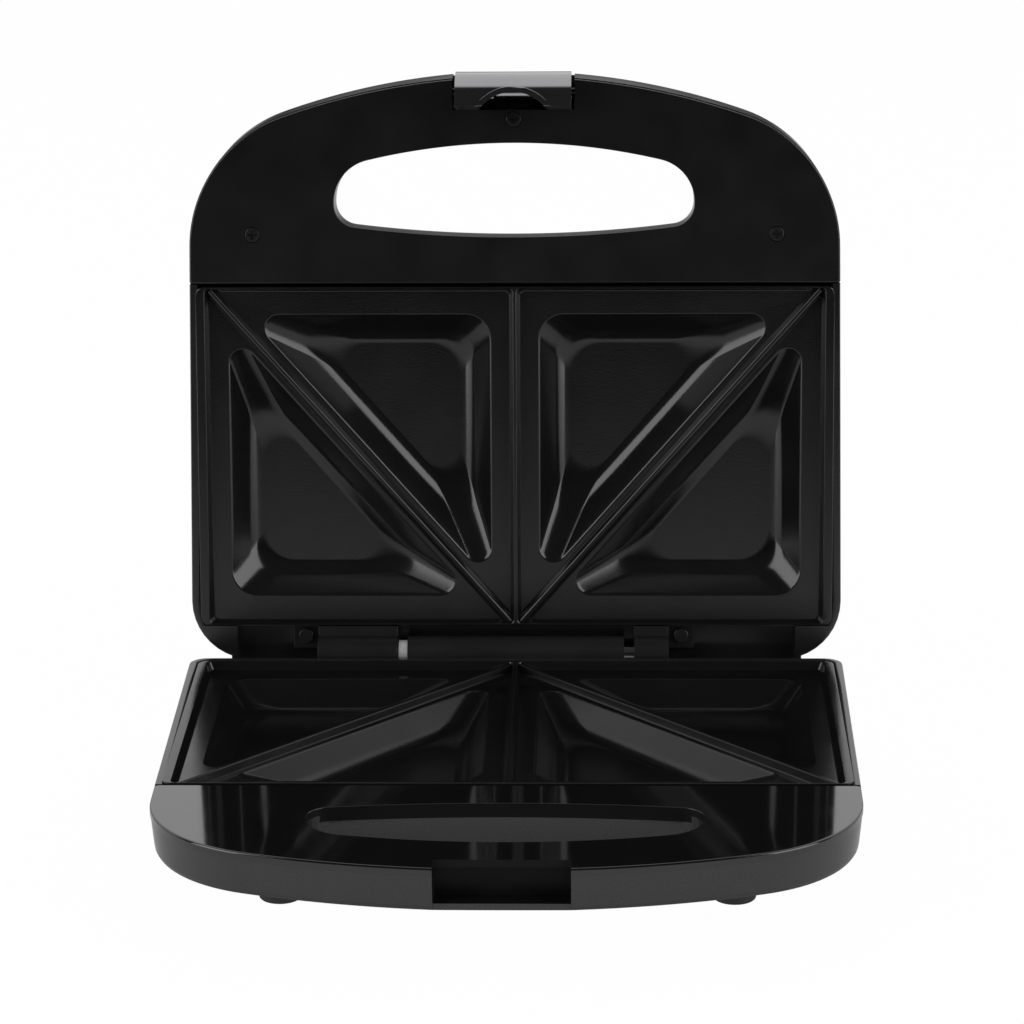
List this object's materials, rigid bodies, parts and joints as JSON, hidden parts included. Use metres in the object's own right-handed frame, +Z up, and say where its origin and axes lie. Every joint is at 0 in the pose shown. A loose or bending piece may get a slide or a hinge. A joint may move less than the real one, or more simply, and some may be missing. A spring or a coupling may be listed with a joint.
{
  "type": "sandwich toaster",
  "caption": "Sandwich toaster with a hinged lid, two cast plates with triangular pockets, hand holes through both halves and a front latch.",
  "frame": {"origin": "on the table, under the centre of the open toaster's bounding box", "axes": "+Z up, +Y towards the hinge at the back, +X to the right of someone facing the handles"},
  "size_m": [0.228, 0.249, 0.2368],
  "materials": {
    "shell_plastic": "fine satin moulded plastic",
    "panel_plastic": "polished black plastic",
    "plate_coating": "dark non-stick coating on cast metal",
    "heater_tube": "oxidised tube",
    "reflector_sheet": "plain sheet",
    "thermostat_metal": "pressed metal",
    "fuse_sleeve": "woven glass sleeve",
    "pale_nylon": "moulded",
    "wire_sleeving": "woven glass sleeving",
    "hinge_plastic": "satin moulded plastic",
    "screw_steel": "zinc plated",
    "dark_screw": "blackened",
    "pin_steel": "drawn",
    "sleeve_nylon": "pale moulded",
    "foot_rubber": "matte",
    "gland_rubber": "matte",
    "red_lens": "translucent red",
    "green_lens": "translucent green",
    "latch_silver": "silver lacquered plastic"
  },
  "bodies": {
    "base": {"base_shell": "shell_plastic", "base_panel": "panel_plastic", "base_plate": "plate_coating", "base_heater": "heater_tube", "base_reflector": "reflector_sheet", "thermostat": "thermostat_metal", "thermal_fuse": "fuse_sleeve", "terminal_block": "pale_nylon", "base_wiring": "wire_sleeving", "hinge_barrel": "hinge_plastic", "hinge_screws": "screw_steel", "hinge_pin": "pin_steel", "hinge_sleeve": "sleeve_nylon", "front_feet": "foot_rubber", "rear_feet": "foot_rubber", "cord_gland": "gland_rubber", "base_panel_screws": "screw_steel", "base_plate_screws": "screw_steel"},
    "lid": {"lid_shell": "shell_plastic", "lid_panel": "panel_plastic", "lid_plate": "plate_coating", "lid_heater": "heater_tube", "lid_reflector": "reflector_sheet", "left_knuckle": "hinge_plastic", "right_knuckle": "hinge_plastic", "knuckle_screws": "dark_screw", "lid_panel_screws": "dark_screw", "power_lamp": "red_lens", "ready_lamp": "green_lens", "lamp_holder": "pale_nylon", "lid_wiring": "wire_sleeving", "latch_pin": "pin_steel", "latch_spring": "pin_steel"},
    "latch": {"latch": "latch_silver"}
  },
  "joints": [
    {"name": "lid_hinge", "type": "hinge", "parent": "base", "child": "lid", "pos_m": [0, 0.07572, 0.036], "axis": [1, 0, 0], "range_deg": [0, 97]},
    {"name": "latch_pivot", "type": "hinge", "parent": "lid", "child": "latch", "pos_m": [0, 0.10875, 0.22871], "axis": [-1, 0, 0], "range_deg": [0, 40]}
  ]
}
